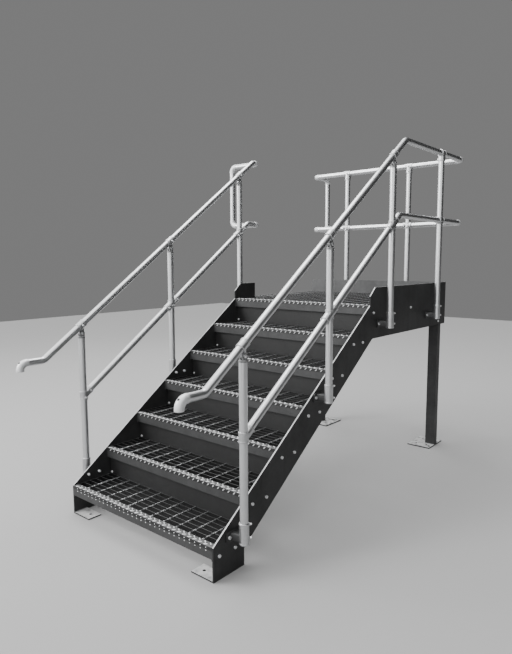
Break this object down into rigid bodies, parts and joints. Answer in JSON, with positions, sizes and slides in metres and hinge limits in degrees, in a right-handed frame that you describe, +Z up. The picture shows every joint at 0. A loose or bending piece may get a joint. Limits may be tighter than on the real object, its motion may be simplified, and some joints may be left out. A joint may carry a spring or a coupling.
{
  "type": "steel access stair with landing",
  "caption": "Galvanised steel access stair with grating treads, closed risers, a grating landing on legs, and a clamped tube guard with an exit at one side.",
  "frame": {"origin": "middle of the stair's footprint, on the ground", "axes": "+X across the flight to the right of a person who climbs, +Y the way the flight climbs, +Z up"},
  "size_m": [1.694, 3.375, 2.3865],
  "materials": {
    "grating": "weathered hot-dip galvanised grating",
    "plate": "dull dark grey galvanised plate",
    "tube": "bright galvanised tube, satin",
    "casting": "galvanised malleable iron castings"
  },
  "bodies": {
    "root": {"back_plate": "plate", "crosses": "casting", "deck_extension": "grating", "deck_front": "grating", "deck_rear": "grating", "elbows": "casting", "extension_frame": "plate", "handrail_back": "tube", "handrail_left": "tube", "handrail_right": "tube", "leg_left": "plate", "leg_right": "plate", "mid_rail_back": "tube", "mid_rail_left": "tube", "mid_rail_right": "tube", "palms_back": "casting", "palms_left": "casting", "palms_right": "casting", "post_back_1": "tube", "post_back_2": "tube", "post_left_1": "tube", "post_left_2": "tube", "post_left_3": "tube", "post_right_1": "tube", "post_right_2": "tube", "post_right_3": "tube", "post_right_4": "tube", "rail_tees": "casting", "rear_beam": "plate", "return_back": "tube", "return_left": "tube", "riser_1": "plate", "riser_2": "plate", "riser_3": "plate", "riser_4": "plate", "riser_5": "plate", "riser_6": "plate", "stringer_left": "plate", "stringer_right": "plate", "tread_1": "grating", "tread_2": "grating", "tread_3": "grating", "tread_4": "grating", "tread_5": "grating", "tread_6": "grating"}
  },
  "joints": []
}
